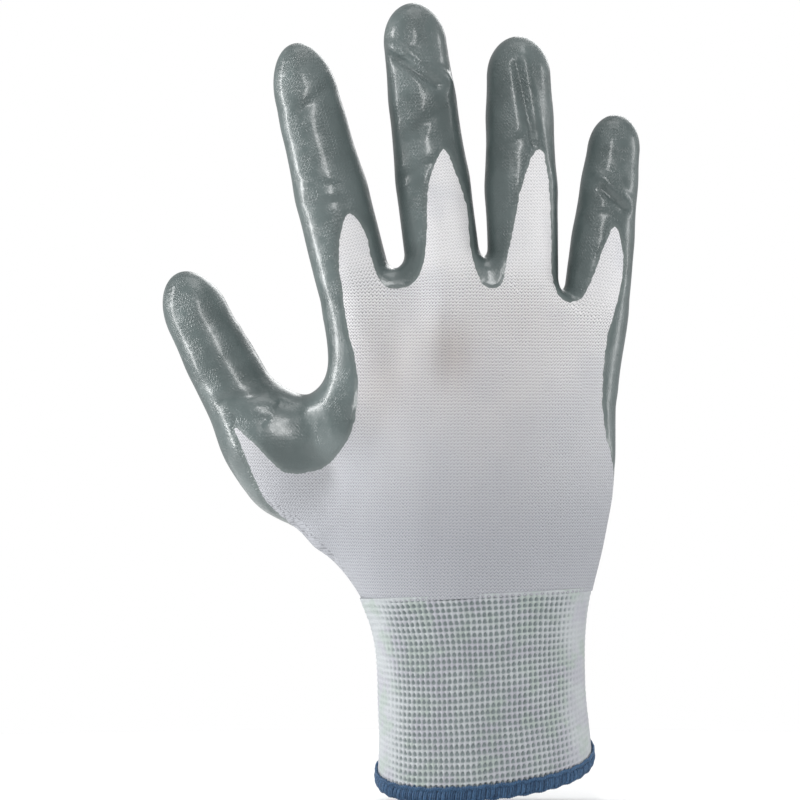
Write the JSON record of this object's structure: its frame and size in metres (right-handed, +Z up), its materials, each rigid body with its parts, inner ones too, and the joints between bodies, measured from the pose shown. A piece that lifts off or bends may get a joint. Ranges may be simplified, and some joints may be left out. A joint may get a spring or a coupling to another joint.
{
  "type": "dipped knit work glove",
  "caption": "Right-hand work glove in its worn shape: knit liner with a rubber film over the palm and fingertips, ribbed cuff and overlocked hem.",
  "frame": {"origin": "centre of the wrist opening, at the hem's lower edge", "axes": "+Z up along the hand to the fingertips, -Y to the back of the hand, +Y to the palm side, -X to the thumb"},
  "size_m": [0.1472, 0.0477, 0.2438],
  "materials": {
    "white_knit": "fine plain knit, matt",
    "cuff_knit": "knit plated with elastic, matt, with fine grey dashes",
    "grey_film": "dipped film, half gloss",
    "blue_thread": "overlocked thread, matt",
    "elastic_yarn": "covered elastic yarn, matt"
  },
  "bodies": {
    "hand": {"liner_hand": "white_knit", "film_palm": "grey_film", "cuff": "cuff_knit", "cuff_elastic_yarn": "elastic_yarn", "hem_overlock": "blue_thread"},
    "index_base": {"liner_index_base": "white_knit", "film_index_base": "grey_film"},
    "index_mid": {"liner_index_mid": "white_knit", "film_index_mid": "grey_film"},
    "index_tip": {"liner_index_tip": "white_knit", "film_index_tip": "grey_film"},
    "middle_base": {"liner_middle_base": "white_knit", "film_middle_base": "grey_film"},
    "middle_mid": {"liner_middle_mid": "white_knit", "film_middle_mid": "grey_film"},
    "middle_tip": {"liner_middle_tip": "white_knit", "film_middle_tip": "grey_film"},
    "ring_base": {"liner_ring_base": "white_knit", "film_ring_base": "grey_film"},
    "ring_mid": {"liner_ring_mid": "white_knit", "film_ring_mid": "grey_film"},
    "ring_tip": {"liner_ring_tip": "white_knit", "film_ring_tip": "grey_film"},
    "little_base": {"liner_little_base": "white_knit", "film_little_base": "grey_film"},
    "little_mid": {"liner_little_mid": "white_knit", "film_little_mid": "grey_film"},
    "little_tip": {"liner_little_tip": "white_knit", "film_little_tip": "grey_film"},
    "thumb_base": {"liner_thumb_base": "white_knit", "film_thumb_base": "grey_film"},
    "thumb_tip": {"liner_thumb_tip": "white_knit", "film_thumb_tip": "grey_film"}
  },
  "joints": [
    {"name": "index_root_fold", "type": "hinge", "parent": "hand", "child": "index_base", "pos_m": [-0.04133, -0.00091, 0.15851], "axis": [-0.9694, 0, -0.2453], "range_deg": [-10, 55]},
    {"name": "index_middle_fold", "type": "hinge", "parent": "index_base", "child": "index_mid", "pos_m": [-0.04611, -0.00013, 0.17741], "axis": [-0.9694, 0, -0.2453], "range_deg": [0, 80]},
    {"name": "index_tip_fold", "type": "hinge", "parent": "index_mid", "child": "index_tip", "pos_m": [-0.05163, 0.00174, 0.19923], "axis": [-0.9694, 0, -0.2453], "range_deg": [0, 40]},
    {"name": "middle_root_fold", "type": "hinge", "parent": "hand", "child": "middle_base", "pos_m": [-0.01264, -0.00238, 0.16131], "axis": [-0.9921, 0, -0.1253], "range_deg": [-10, 55]},
    {"name": "middle_middle_fold", "type": "hinge", "parent": "middle_base", "child": "middle_mid", "pos_m": [-0.01515, -0.00157, 0.18115], "axis": [-0.9921, 0, -0.1253], "range_deg": [0, 80]},
    {"name": "middle_tip_fold", "type": "hinge", "parent": "middle_mid", "child": "middle_tip", "pos_m": [-0.01834, 0.00055, 0.20645], "axis": [-0.9921, 0, -0.1253], "range_deg": [0, 40]},
    {"name": "ring_root_fold", "type": "hinge", "parent": "hand", "child": "ring_base", "pos_m": [0.01238, -0.00137, 0.1598], "axis": [-0.9998, 0, -0.0209], "range_deg": [-10, 55]},
    {"name": "ring_middle_fold", "type": "hinge", "parent": "ring_base", "child": "ring_mid", "pos_m": [0.01198, -0.00045, 0.17879], "axis": [-0.9998, 0, -0.0209], "range_deg": [0, 80]},
    {"name": "ring_tip_fold", "type": "hinge", "parent": "ring_mid", "child": "ring_tip", "pos_m": [0.01152, 0.0017, 0.20079], "axis": [-0.9998, 0, -0.0209], "range_deg": [0, 40]},
    {"name": "little_root_fold", "type": "hinge", "parent": "hand", "child": "little_base", "pos_m": [0.03542, 0.00164, 0.14893], "axis": [-0.993, 0, 0.1184], "range_deg": [-10, 55]},
    {"name": "little_middle_fold", "type": "hinge", "parent": "little_base", "child": "little_mid", "pos_m": [0.0372, 0.00242, 0.16383], "axis": [-0.993, 0, 0.1184], "range_deg": [0, 80]},
    {"name": "little_tip_fold", "type": "hinge", "parent": "little_mid", "child": "little_tip", "pos_m": [0.03927, 0.00422, 0.1812], "axis": [-0.993, 0, 0.1184], "range_deg": [0, 40]},
    {"name": "thumb_root_fold", "type": "hinge", "parent": "hand", "child": "thumb_base", "pos_m": [-0.07292, 0.01145, 0.11216], "axis": [-0.6973, 0.5729, -0.4307], "range_deg": [-10, 40]},
    {"name": "thumb_tip_fold", "type": "hinge", "parent": "thumb_base", "child": "thumb_tip", "pos_m": [-0.08151, 0.01287, 0.12793], "axis": [-0.6973, 0.5729, -0.4307], "range_deg": [0, 60]}
  ],
  "couplings": [
    {"joint": "index_tip_fold", "follows": "index_middle_fold", "ratio": 0.5},
    {"joint": "middle_tip_fold", "follows": "middle_middle_fold", "ratio": 0.5},
    {"joint": "ring_tip_fold", "follows": "ring_middle_fold", "ratio": 0.5},
    {"joint": "little_tip_fold", "follows": "little_middle_fold", "ratio": 0.5}
  ]
}
